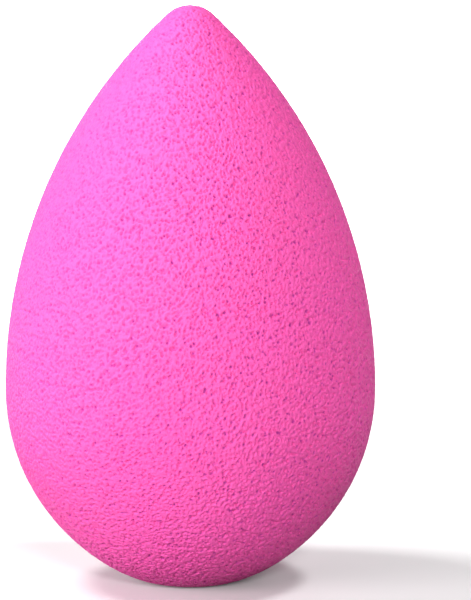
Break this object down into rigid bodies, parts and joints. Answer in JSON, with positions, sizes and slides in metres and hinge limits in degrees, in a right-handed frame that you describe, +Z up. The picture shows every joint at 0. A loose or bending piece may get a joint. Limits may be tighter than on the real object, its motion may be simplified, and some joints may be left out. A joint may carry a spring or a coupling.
{
  "type": "makeup sponge",
  "caption": "Teardrop of soft foam with a rounded tip and a full round base, for dabbing and spreading liquid or powder makeup.",
  "frame": {"origin": "centre of the flat seat that the sponge stands on", "axes": "+Z up along the teardrop's axis, from the seat to the tip; the shape is the same all round it, and -Y is the side that the picture shows"},
  "size_m": [0.0382, 0.0382, 0.06],
  "materials": {
    "foam": "matte, fine open cells"
  },
  "bodies": {
    "root": {"foam_body": "foam"}
  },
  "joints": []
}
